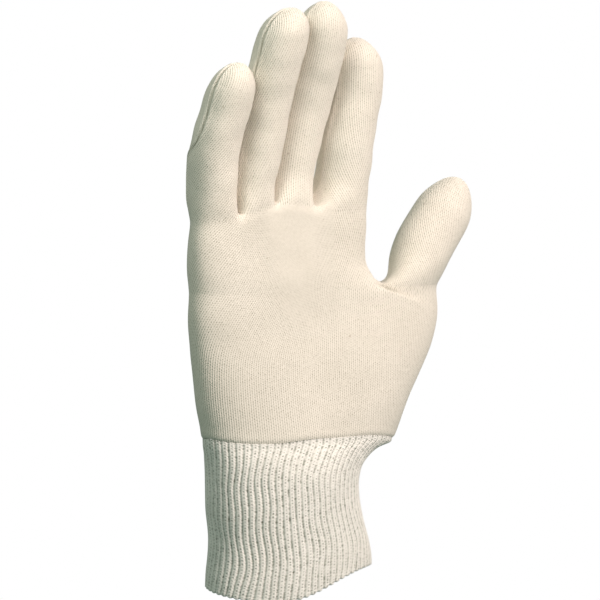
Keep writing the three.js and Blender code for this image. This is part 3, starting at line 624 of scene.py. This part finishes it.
def marks_of(skin, points):
    """For every point: how far it lies from a side seam, from the crease below the middle fingers
    and from the wrist seam, in millimetres, and its shares of easing at the roots."""
    marks = {name: np.full(len(points), FAR) for name in ("seam", "crease", "hem")}
    marks["ease"], marks["thumb_root"] = np.zeros((2, len(points)))

    def mark(name, ids, values):
        choose = np.maximum if name in ("ease", "thumb_root") else np.minimum
        choose.at(marks[name], ids.ravel(), np.ravel(values + 0.0 * ids))

    for strip in skin.strips:
        ids, part, panel = strip["ids"], strip["part"], strip["panel"]
        rows = points[ids]
        rise = np.abs(rows[..., 2] - rows[:1, :, 2])
        drop = np.abs(rows[-1:, :, 2] - rows[..., 2])
        if part != "thumb":
            length = along(rows, 0)
            flat = flattened_seams(rows) if part == "finger" else (0, 0)
            mark("seam", ids, np.minimum(length + flat[0], length[:, -1:] - length + flat[1]))
        if part == "lower":
            mark("hem", ids, rise)
            mark("ease", ids, hump(drop, EASE["below_web"]))
            outward = np.clip(from_thumb_web(rows) / THUMB_EASE_OUTWARD, 0, 1)
            mark("thumb_root", ids, outward * hump(drop, THUMB_EASE))
        elif part == "upper":
            mark("ease", ids, hump(rise, EASE["above_web"]))
            mark("ease", ids, hump(drop, EASE["knuckles"]))
            if panel == "palm_panel":
                cut = slice(int(EDGES[1]), int(EDGES[3]) + 1)
                mark("crease", ids[:, cut], drop[:, cut])
        else:
            mark("ease", ids, hump(rise, EASE[part]))
            if part == "thumb":
                mark("thumb_root", ids, hump(rise, THUMB_EASE))
            elif panel == "middle_fingers_panel":
                mark("crease", ids, rise)
    return marks


def soft_noise(points, size, seed):
    """Smooth unevenness between about -1 and 1: a sum of waves in fixed directions."""
    rng = np.random.default_rng(seed)
    total = 0
    for _ in range(7):
        direction = rng.normal(size=3)
        direction *= 2 * np.pi / (size * rng.uniform(0.7, 1.5) * np.linalg.norm(direction))
        total = total + np.sin(points @ direction + rng.uniform(0, 2 * np.pi))
    return total / 3.2


def fold_at_thumb(points):
    """Tucks the palm side of the thumb's base behind a rounded fold that falls away from the web.

    Above the fold's line the cloth steps back by THUMB_FOLD within about a millimetre and comes
    forward again over ROOT_BLEND; this fades out on the way to the thumb's outer edge.
    Gives the moved points and the strength of the shade painted on each, from 0 to 1.
    """
    from_web = from_thumb_web(points)
    fold_line = THUMB_WEB_Z + THUMB_FOLD_RISE - THUMB_FOLD_SLOPE * np.maximum(from_web, 0)
    above = points[:, 2] - fold_line
    palmward = np.clip(-(points[:, 1] - 1.0) / (THUMB_DEPTH / 2), 0, 1)
    webward = np.clip(1.05 - from_web / THUMB_BREADTH, 0, 1) ** 1.5
    webward = webward * np.clip(0.55 + from_web / 7, 0, 1)
    step = 1 / (1 + np.exp(-np.clip(above / THUMB_FOLD_STEP, -30, 30)))
    tuck = THUMB_FOLD * step * hump(np.maximum(above, 0), ROOT_BLEND * 0.8)
    moved = points.copy()
    moved[:, 1] += tuck * palmward * webward
    # Painted shade: a dark line just above the fold's line and a softer shade above it, on the
    # palm's side near the web
    shade = hump(above - 0.4, FOLD_SHADE_REACH)
    shade += FOLD_UPPER_SHADE * step * hump(np.maximum(above, 0), FOLD_UPPER_REACH)
    return moved, shade * np.clip(2 * palmward, 0, 1) * webward**1.5


def dress(points, normals, marks):
    """Moves the skin along its normals: seams sunk between two soft ridges, except beside the
    thumb's root, and slight unevenness, which is greater on the fingers."""
    x, _, z = points.T
    lift = {
        name: sum(height * hump(marks[name] - place, width) for place, width, height in rows)
        for name, rows in RELIEF.items()
    }
    lift["seam"] *= 1 - hump(z - THUMB_WEB_Z, ROOT_BLEND) * (x > PALM_BREADTH / 4)
    on_finger = 1 / (1 + np.exp(-(z - FINGER_WEB_Z + 2) / 4))
    broad, fine = (depth * soft_noise(points, size, seed) for size, seed, depth in DENTS)
    return points + normals * (sum(lift.values()) + broad + fine * (0.5 + on_finger))[:, None]


# Meshes
def make_mesh(name, points, faces, layers, material, replaces, shading=None):
    """A smooth mesh from triangles, with a UV map for each layer and, if given, corner normals."""
    mesh = bpy.data.meshes.new(name)
    mesh.vertices.add(len(points))
    mesh.vertices.foreach_set("co", (points * MM).astype(np.float32).ravel())
    mesh.loops.add(faces.size)
    mesh.loops.foreach_set("vertex_index", faces.astype(np.int32).ravel())
    mesh.polygons.add(len(faces))
    mesh.polygons.foreach_set("loop_start", np.arange(0, faces.size, 3, dtype=np.int32))
    for layer, values in layers.items():
        mesh.uv_layers.new(name=layer).data.foreach_set("uv", values.astype(np.float32).ravel())
    mesh.update(calc_edges=True)
    mesh.validate()
    mesh.polygons.foreach_set("use_smooth", np.ones(len(mesh.polygons), bool))
    if shading is not None:
        mesh.normals_split_custom_set(shading.reshape(-1, 3))
    mesh.materials.append(material)
    piece = in_scene(name, mesh)
    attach(piece, "root")
    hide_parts(replaces)


def open_edges(faces, count):
    """Directed edges that only one triangle uses."""
    start = faces.ravel()
    end = np.roll(faces, -1, axis=1).ravel()
    alone = ~np.isin(start.astype(np.int64) * count + end, end.astype(np.int64) * count + start)
    return start[alone], end[alone], np.flatnonzero(alone)


def knit_coordinates(strip, panel, rows):
    """The knit's coordinates on a strip, and how plainly it shows where wales run together."""
    u, v = strip["u"], strip["v"]
    if panel == "palm_panel":
        share = read(WALES_PART, "share", rows[..., 0])[..., None]
        knit = mix(*(wale_coordinates(*side, u, v) for side in PALM_WALES), share)
    else:
        wales = UPRIGHT_WALES if panel == "back_panel" else strip["wales"]
        knit = wale_coordinates(wales, u[:, [u.shape[1] // 2]], u, v)
    step = np.maximum(np.linalg.norm(np.gradient(rows, axis=1), axis=-1), 1e-3)
    density = np.abs(np.gradient(knit[..., 0], axis=1)) / step
    return knit, np.clip((CROWDED - density) / CROWDED_RANGE, PLAINEST, 1)


def panel_piece(skin, panel, points, normals, marks, material):
    """One panel: its outer skin, an inner skin a cloth's thickness below, and turned rims.

    Its UV maps hold the knit's coordinates, how plainly the knit shows beside the distance to the
    seam, and the strength of the shade painted at the fold at the thumb.
    """
    corners, shown = [], []
    for strip in [strip for strip in skin.strips if strip["panel"] == panel]:
        ids = strip["ids"]
        triangles = halved(skin_quads(strip))
        knit, plain = knit_coordinates(strip, panel, points[ids])
        seam, tucked = np.minimum(marks["seam"][ids], SEAM_REACH), marks["tucked"][ids]
        corners.append(ids.ravel()[triangles])
        shown.append(np.dstack([knit, plain, seam, tucked, tucked]).reshape(-1, 6)[triangles])
    faces = np.concatenate(corners)
    real = np.all(faces != np.roll(faces, 1, axis=1), axis=1)
    used, faces = np.unique(faces[real], return_inverse=True)
    faces = faces.reshape(-1, 3)
    outer, count, up = points[used], len(used), normals[used]
    start, end, corner = open_edges(faces, count)
    rim = np.concatenate([
        np.stack([end, start, start + count], axis=1),
        np.stack([end, start + count, end + count], axis=1),
    ])
    edge, following = (corner // 3, corner % 3), (corner // 3, (corner % 3 + 1) % 3)
    values = np.concatenate(shown)[real]
    a, b = values[edge], values[following]
    rim_values = [np.stack([b, a, a], axis=1), np.stack([b, a, b], axis=1)]
    values = np.concatenate([values, values[:, ::-1], *rim_values])
    # The tuck map holds the strength of the shade painted at the fold at the thumb
    layers = {"knit": values[..., :2], "knit_plainness": values[..., 2:4], "tuck": values[..., 4:]}
    body = np.concatenate([outer, outer - up * CLOTH])
    low, mid, high = (body[rim[:, k]] for k in range(3))
    rim_up = np.repeat(unit(np.cross(mid - low, high - low))[:, None], 3, axis=1)
    every = np.concatenate([faces, faces[:, ::-1] + count, rim])
    shading = np.concatenate([up[faces], -up[faces[:, ::-1]], rim_up])
    name = panel + "_knit"
    make_mesh(name, body, every, layers, material, panel, shading)


def rib_places(at, share):
    """Places of the ribs' columns, as shares of a turn: they sway, wander and lean at the hem."""
    up, turn = at[:, None], 2 * np.pi * share
    window = np.clip(np.cos(turn + 0.08 * np.pi), 0, 1) ** 2
    lean = RIB_LEAN * np.clip(1 - up / 0.3, 0, 1) ** 2 * window
    waves = (1, up * 1.7 + share * 3), (0.5, up * 3.1 - share * 7)
    sway = sum(strength * np.sin(2 * np.pi * turns) for strength, turns in waves)
    around = np.cos(turn), np.sin(turn), up * CUFF_LENGTH / WRIST_BREADTH * 2
    wall = np.dstack(np.broadcast_arrays(*around)) * WRIST_BREADTH / 2
    wander = soft_noise(wall, RIB_WANDER_SIZE, 21)
    return share + lean + RIB_SWAY * sway + RIB_WANDER * wander, wall


def cuff_surface(at, columns, inset, relief):
    """Rows of the wrist's tube: an oval that opens to the hand's seam, pressed into ribs."""
    seam = palm_section(LOWER_PALM, 0 * at, THUMB_SIDE_REACH)
    broad, deep, flare = (read(CUFF, name, at) for name in ("broad", "deep", "flare"))
    half_breadth = mix(broad * WRIST_BREADTH / 2, seam["half_breadth"] - CUFF_STEP, flare) - inset
    half_depth = mix(deep * WRIST_DEPTH / 2, seam["half_depth"] - CUFF_STEP, flare) - inset
    section = dict(
        middle=mix(read(CUFF, "middle", at) * WRIST_BREADTH, seam["middle"], flare),
        half_breadth=half_breadth,
        half_depth=half_depth,
        cup=mix(0, seam["cup"], flare),
        squareness=mix(WRIST_SQUARENESS, seam["squareness"], flare),
    )
    share = np.arange(columns + 1) / columns
    rib = share * RIB_COUNT
    place, wall = rib_places(at, share)
    closing = (1 - place[:, [-1]]) * share - place[:, [0]] * (1 - share)
    flat = on_arcs(arcs(section, -180, 180), np.clip(place, 0, 1) + closing)
    middle = np.stack([section["middle"], 0 * at], axis=-1)[:, None]
    out = (flat - middle) / np.stack([half_breadth, half_depth], axis=-1)[:, None] ** 2
    out /= np.linalg.norm(out, axis=-1, keepdims=True)
    side = np.arctan2(flat[..., 0] - middle[..., 0], -flat[..., 1])
    strength = relief * (1 - RIB_FLARE_FADE * flare**3)[:, None]
    strength = strength * (RIB_DEPTH + RIB_SIDE_DEPTH * np.cos(side + RIB_SIDE))
    strength = strength * (1 + RIB_UNEVEN * soft_noise(wall, RIB_UNEVEN_SIZE, 22))
    groove = strength * (1 - np.abs(np.cos(np.pi * rib)) ** RIB_FURROW)
    flat = flat - out * groove[..., None]
    side = np.arctan2(flat[..., 0] - middle[..., 0], -flat[..., 1])
    scallop = HEM_SCALLOP * np.cos(2 * np.pi * rib) * np.clip(1 - at / 0.05, 0, 1)[:, None]
    waves = (rise * np.cos(turns * (side - np.radians(start))) for turns, rise, start in HEM_WAVES)
    z = mix(WRIST_BREADTH * sum(waves) - scallop, CUFF_LENGTH - SEAM_GAP, at[:, None])
    return np.dstack([flat, z]), rib


def cuff_piece(material):
    """The ribbed tube: its outer wall, a rolled hem, and a plainer inner wall."""
    columns = RIB_COUNT * RIB_COLUMNS
    outer_at = eased(CUFF_ROWS, CUFF_ROW_PULL)
    inner_at = np.linspace(1, 0, CUFF_INNER_ROWS)
    outer, rib = cuff_surface(outer_at, columns, 0.0, RIB_RELIEF)
    inner, _ = cuff_surface(inner_at, columns, RIB_CLOTH + RIB_RELIEF, INNER_RELIEF)
    roll = np.linspace(0, np.pi, ROLL_ROWS)[1:-1][:, None, None]
    rolled = mix(inner[-1:], outer[:1], (1 - np.cos(roll)) / 2)
    rolled[..., 2] -= HEM_ROLL * np.sin(roll[..., 0])
    body = np.concatenate([rolled, outer, inner])
    rows = len(body)
    points = on_wrist_seam(body[:, :-1].reshape(-1, 3))
    row, column = np.meshgrid(np.arange(rows), np.arange(columns), indexing="ij")
    above, beside = (row + 1) % rows, (column + 1) % columns
    height = np.concatenate([np.zeros(len(rolled)), outer_at, inner_at]) * CUFF_LENGTH
    left, right, low, high = rib[column], rib[column + 1], height[row], height[above]
    corners = (row, column), (row, beside), (above, beside), (above, column)
    places = (left, low), (right, low), (right, high), (left, high)
    faces = halved(np.dstack([r * columns + c for r, c in corners]).reshape(-1, 4))
    places = np.stack([np.dstack(place) for place in places], axis=2)
    layers = {"rib": halved(places.reshape(-1, 4, 2))}
    make_mesh("wrist_cuff_rib", points, faces, layers, material, "wrist_cuff")


# Materials
class Value:
    """A value in a shader's tree. Reckoning with it adds the math nodes."""

    def __init__(self, socket):
        self.tree, self.socket = socket.id_data, socket

    def by(self, operation, *others):
        node = node_of(self.tree, "Math")
        node.operation = operation
        for value, socket in zip((self, *others), node.inputs):
            link(value, socket)
        return Value(node.outputs[0])

    __add__ = partialmethod(by, "ADD")
    __sub__ = partialmethod(by, "SUBTRACT")
    __mul__ = partialmethod(by, "MULTIPLY")
    __truediv__ = partialmethod(by, "DIVIDE")
    __pow__ = partialmethod(by, "POWER")

    def parts(self):
        """The three parts of a vector."""
        split = node_of(self.tree, "SeparateXYZ", Vector=self)
        return [Value(socket) for socket in split.outputs]


def link(value, socket):
    """Joins a value to a socket, or sets the socket to a plain number or colour."""
    if isinstance(value, Value):
        value.tree.links.new(value.socket, socket)
    else:
        socket.default_value = value


def node_of(tree, kind, **values):
    """A new node with values for its inputs."""
    node = tree.nodes.new("ShaderNode" + kind)
    for label, value in values.items():
        link(value, node.inputs[label])
    return node


def blended(share, first, second):
    """A colour between two others."""
    node = node_of(share.tree, "Mix")
    node.data_type = "RGBA"
    sockets = {s.name: s for s in node.inputs if s.enabled}
    for value, name in ((share, "Factor"), (first, "A"), (second, "B")):
        link(value, sockets[name])
    return Value(next(s for s in node.outputs if s.enabled))


def noise(place, scale, detail=2.0):
    node = node_of(place.tree, "TexNoise", Vector=place, Scale=scale, Detail=detail)
    return Value(node.outputs["Fac"])


def wave(turns, power=1.0):
    """A cosine of so many turns, between 0 and 1, sharpened by a power."""
    return ((turns * (2 * np.pi)).by("COSINE") * 0.5 + 0.5) ** power


def bell(value, middle, width):
    """One at the middle, falling away on both sides within the width."""
    away = (value - middle) / width
    return (away * away * -1.0).by("EXPONENT")


def group(name, inputs, outputs):
    """A node group. An input with no value is a vector, and a value of four numbers a colour."""
    tree = bpy.data.node_groups.new(name, "ShaderNodeTree")
    kinds = {type(None): "Vector", float: "Float", tuple: "Color"}
    for label, value in inputs.items():
        kind = "NodeSocket" + kinds[type(value)]
        socket = tree.interface.new_socket(label, in_out="INPUT", socket_type=kind)
        if value is not None:
            socket.default_value = value
    for label in outputs:
        kind = "NodeSocketColor" if label == "Color" else "NodeSocketFloat"
        tree.interface.new_socket(label, in_out="OUTPUT", socket_type=kind)
    given = tree.nodes.new("NodeGroupInput").outputs
    given = {label: Value(given[label]) for label in inputs}
    return tree, given, tree.nodes.new("NodeGroupOutput").inputs


def placed(tree, group_tree, **values):
    """Puts a node group into a tree with values for its inputs, and gives its outputs."""
    node = node_of(tree, "Group")
    node.node_tree = group_tree
    for label, value in values.items():
        link(value, node.inputs[label])
    return {socket.name: Value(socket) for socket in node.outputs}


def knit_group():
    """Fine wales: a ridge each, and in each furrow a small pit a course, half a course further up
    than in the furrow before. Wales wander a little, and pits show in patches. The recess, which
    darkens the cloth's colour, is painted shade in the furrows and pits."""
    tree, given, out = group(
        "interlock_knit",
        {"Coordinate": None, "Wale Pitch": 1.03, "Course Pitch": 1.15, "Wander": 0.5},
        ["Height", "Recess"],
    )
    place = given["Coordinate"]
    across, up, _ = place.parts()
    wale = (noise(place, 0.04) - 0.5) * given["Wander"] + across / given["Wale Pitch"]
    furrow = wave(wale + 0.5)
    patchy = noise(place, 0.55)
    course = patchy * 1.2 + wale.by("FLOOR") * 0.5 + up / given["Course Pitch"]
    pit = wave(course, 1.6) * furrow**1.5 * (patchy * 2.8 - 0.75).by("MAXIMUM", 0.05)
    link((pit + furrow) * -0.7, out["Height"])
    link(pit * 0.75 + furrow * 0.42, out["Recess"])
    # Painted shade: the recess darkens the furrows and pits
    return tree


def rib_group():
    """Stitches of the ribbed wrist: each rib has two threads with fine pits between them and larger
    ones in the furrows beside it, and along one open course the furrows have holes. The recess,
    which darkens the cloth's colour, is painted shade in the pits, furrows and holes and faintly
    along the threads."""
    tree, given, out = group(
        "rib_stitches",
        {"Coordinate": None, "Course Pitch": 1.2, "Open Course": 31.0},
        ["Height", "Recess"],
    )
    place = given["Coordinate"]
    rib, up, _ = place.parts()
    course = noise(place, 0.7) * 1.3 + up / given["Course Pitch"]
    valley, furrow = wave(rib * 2.0), wave(rib + 0.5, 4.0)
    threads = wave(rib.by("PINGPONG", 0.5) * 1.5 + course, 1.5)
    pit = wave(course, 1.5) * valley**2.0
    hole = furrow * (bell(up, given["Open Course"], 0.7) * 0.5 + wave(course + 0.5, 1.6))
    patchy = (noise(place, 0.9, 1.0) * 3.0 - 0.85).by("MAXIMUM", 0.2)
    # Painted shade: darker along the threads, in the pits and holes in patches, and faintly in the
    # furrows
    dark = threads * 0.09 + (pit * 0.9 + hole) * patchy
    link(valley * -0.35 + threads * -0.14 + dark * -0.9, out["Height"])
    link(dark * 1.3 + furrow * 0.04, out["Recess"])
    return tree


def cloth_tone_group():
    """Uneven tone of undyed cotton: broad soft patches and fine flecks; and painted shade, towards
    Deep, where the recess is given.
    """
    tree, given, out = group(
        "cotton_tone",
        {"Place": None, "Recess": 0.0, "Light": (1, 1, 1, 1), "Deep": (0.5, 0.5, 0.5, 1),
         "Fleck": (0.4, 0.3, 0.2, 1)},
        ["Color", "Fuzz"],
    )
    place = given["Place"]
    broad, fine = noise(place, 38.0, 3.0), noise(place, 900.0)
    # The recess term is painted shade; the broad and fine noise are the cloth's random tone
    tone = (broad - 0.5) * 0.28 + given["Recess"] * 0.55 + (fine - 0.5) * 0.22 + 0.06
    colour = blended(tone.by("MAXIMUM", 0.0).by("MINIMUM", 1.0), given["Light"], given["Deep"])
    spot = noise(place, 420.0, 1.0).by("GREATER_THAN", 0.79) * 0.35
    link(blended(spot, colour, given["Fleck"]), out["Color"])
    link(fine, out["Fuzz"])
    return tree


def linear(seen):
    """A colour given as the eye sees it, from 0 to 255, as the shader's linear colour."""
    seen = np.array(seen) / 255
    return (*np.where(seen < 0.04045, seen / 12.92, ((seen + 0.055) / 1.055) ** 2.4), 1.0)


def uv_map(tree, name):
    node = node_of(tree, "UVMap")
    node.uv_map = name
    return Value(node.outputs[0])


def fabric(name, tone, light, deep, fleck, bump_distance, fuzz, stitches):
    """A matt cotton material. The function stitches gives its height and recess for a tree."""
    material = bpy.data.materials.new(name)
    material.use_nodes = True
    tree = material.node_tree
    shader = tree.nodes["Principled BSDF"]
    shader.inputs["Roughness"].default_value = 0.95
    shader.inputs["Specular IOR Level"].default_value = 0.18
    shader.inputs["Sheen Weight"].default_value = 0.18
    shader.inputs["Sheen Roughness"].default_value = 0.55
    place = Value(node_of(tree, "TexCoord").outputs["Object"])
    height, recess = stitches(tree)
    light, deep, fleck = linear(light), linear(deep), linear(fleck)
    toned = placed(tree, tone, Place=place, Recess=recess, Light=light, Deep=deep, Fleck=fleck)
    link(toned["Color"], shader.inputs["Base Color"])
    height = toned["Fuzz"] * fuzz + height
    bump = node_of(tree, "Bump", Distance=bump_distance, Strength=1.0, Height=height)
    tree.links.new(bump.outputs["Normal"], shader.inputs["Normal"])
    return material


def knit_material(knit, tone):
    """Interlock cloth: where the knit isn't plain its recess nears the mean, seams are a groove
    between ridges with painted shade in the groove and painted light on the ridges, and the fold
    at the thumb gets painted shade."""
    mean_recess = 0.30

    def stitches(tree):
        shown = placed(tree, knit, Coordinate=uv_map(tree, "knit"))
        plainness, seam, _ = uv_map(tree, "knit_plainness").parts()
        tucked = uv_map(tree, "tuck").parts()[0]
        # Painted shade in the seam's groove and painted light on its ridges, through the recess
        groove, ridge = bell(seam, 0.0, 0.5), bell(seam, 1.3, 0.6)
        height = shown["Height"] * plainness + ridge * 1.2 + groove * -2.4
        # Painted shade at the fold at the thumb, added to the recess
        recess = (shown["Recess"] - mean_recess) * plainness + mean_recess + tucked
        return height, recess + ridge * -0.25 + groove * 0.9

    # Light is the cloth's own colour, Deep the grey-green of painted shade and the dark end of its
    # random tone, Fleck its specks
    colours = (249, 244, 236), (158, 154, 135), (150, 133, 106)
    return fabric("cotton_interlock", tone, *colours, 0.00014, 0.5, stitches)


def rib_material(rib, tone):
    """The whiter ribbed knit of the wrist."""

    def stitches(tree):
        shown = placed(tree, rib, Coordinate=uv_map(tree, "rib"))
        return shown["Height"], shown["Recess"]

    # Light is the rib's own colour, Deep the grey-green of painted shade and the dark end of its
    # random tone, Fleck its specks
    colours = (254, 253, 250), (122, 128, 112), (130, 113, 90)
    return fabric("cotton_rib", tone, *colours, 0.00028, 0.25, stitches)


# The scene
def in_scene(name, data):
    """A new object in the scene."""
    thing = bpy.data.objects.new(name, data)
    bpy.context.scene.collection.objects.link(thing)
    return thing


def set_camera():
    """A long lens, turned to the little finger's side of the palm and slightly above it."""
    turn, rise = np.radians(VIEW_TURN), np.radians(VIEW_RISE)
    back = Vector((np.sin(turn) * np.cos(rise), -np.cos(turn) * np.cos(rise), np.sin(rise)))
    right = Vector((np.cos(turn), np.sin(turn), 0))
    up = back.cross(right)
    data = bpy.data.cameras.new("view")
    data.lens, data.sensor_width = 900, 36
    camera = in_scene("view", data)
    span = PIXEL * MM * PICTURE
    target = right * VIEW_RIGHT * MM + up * VIEW_UP * MM
    camera.location = target + back * (span * data.lens / data.sensor_width)
    camera.rotation_mode = "QUATERNION"
    camera.rotation_quaternion = back.to_track_quat("Z", "Y")
    data.clip_start, data.clip_end = 0.05, 60
    bpy.context.scene.camera = camera


def set_lamps():
    """Square soft lamps, turned to their targets."""
    for name, (place, target, size, power, colour) in LAMPS.items():
        data = bpy.data.lights.new(name, "AREA")
        data.shape, data.size, data.size_y = "RECTANGLE", size, size
        data.energy, data.color = power, colour
        lamp = in_scene(name, data)
        lamp.location = place
        lamp.rotation_mode = "QUATERNION"
        lamp.rotation_quaternion = (Vector(place) - Vector(target)).to_track_quat("Z", "Y")


def set_glow(tree, kind, output):
    """White where the camera sees it directly, and dim and tinted in the light it sends out."""
    seen = Value(node_of(tree, "LightPath").outputs["Is Camera Ray"])
    choice = node_of(tree, "MixShader", Fac=seen)
    shades = (SURROUND_TINT, SURROUND_STRENGTH), ((1, 1, 1, 1), 1.0)
    for (colour, strength), socket in zip(shades, choice.inputs[1:]):
        glow = node_of(tree, kind, Color=colour, Strength=strength)
        tree.links.new(glow.outputs[0], socket)
    tree.links.new(choice.outputs[0], tree.nodes[output].inputs["Surface"])


def set_stage():
    """A pale floor well below the glove and a bright even surround."""
    low, far = -0.30, 20
    mesh = bpy.data.meshes.new("floor")
    corners = [(-far, -far, low), (far, -far, low), (far, far, low), (-far, far, low)]
    mesh.from_pydata(corners, [], [(0, 1, 2, 3)])
    floor = in_scene("floor", mesh)
    pale = bpy.data.materials.new("pale_floor")
    pale.use_nodes = True
    set_glow(pale.node_tree, "Emission", "Material Output")
    mesh.materials.append(pale)

    world = bpy.data.worlds.new("surround")
    bpy.context.scene.world = world
    world.use_nodes = True
    set_glow(world.node_tree, "Background", "World Output")
    bpy.context.scene.view_settings.view_transform = "Standard"


def build_glove():
    """The four panels of the hand, cut from one skin, and the ribbed wrist."""
    knit, rib, tone = knit_group(), rib_group(), cloth_tone_group()
    cotton, ribbed = knit_material(knit, tone), rib_material(rib, tone)
    skin = build_hand()
    points = skin.points()
    marks = marks_of(skin, points)
    points = relax(points, skin.strips, marks["ease"], EASE_ROUNDS)
    points = relax(points, skin.strips, marks["thumb_root"], THUMB_EASE_ROUNDS)
    points, marks["tucked"] = fold_at_thumb(points)
    dressed = dress(points, skin_normals(skin, points), marks)
    normals = skin_normals(skin, dressed)
    dressed = on_wrist_seam(dressed)
    for panel in ("palm_panel", "middle_fingers_panel", "back_panel", "thumb"):
        panel_piece(skin, panel, dressed, normals, marks, cotton)
    cuff_piece(ribbed)


set_camera()
set_stage()
set_lamps()
build_glove()
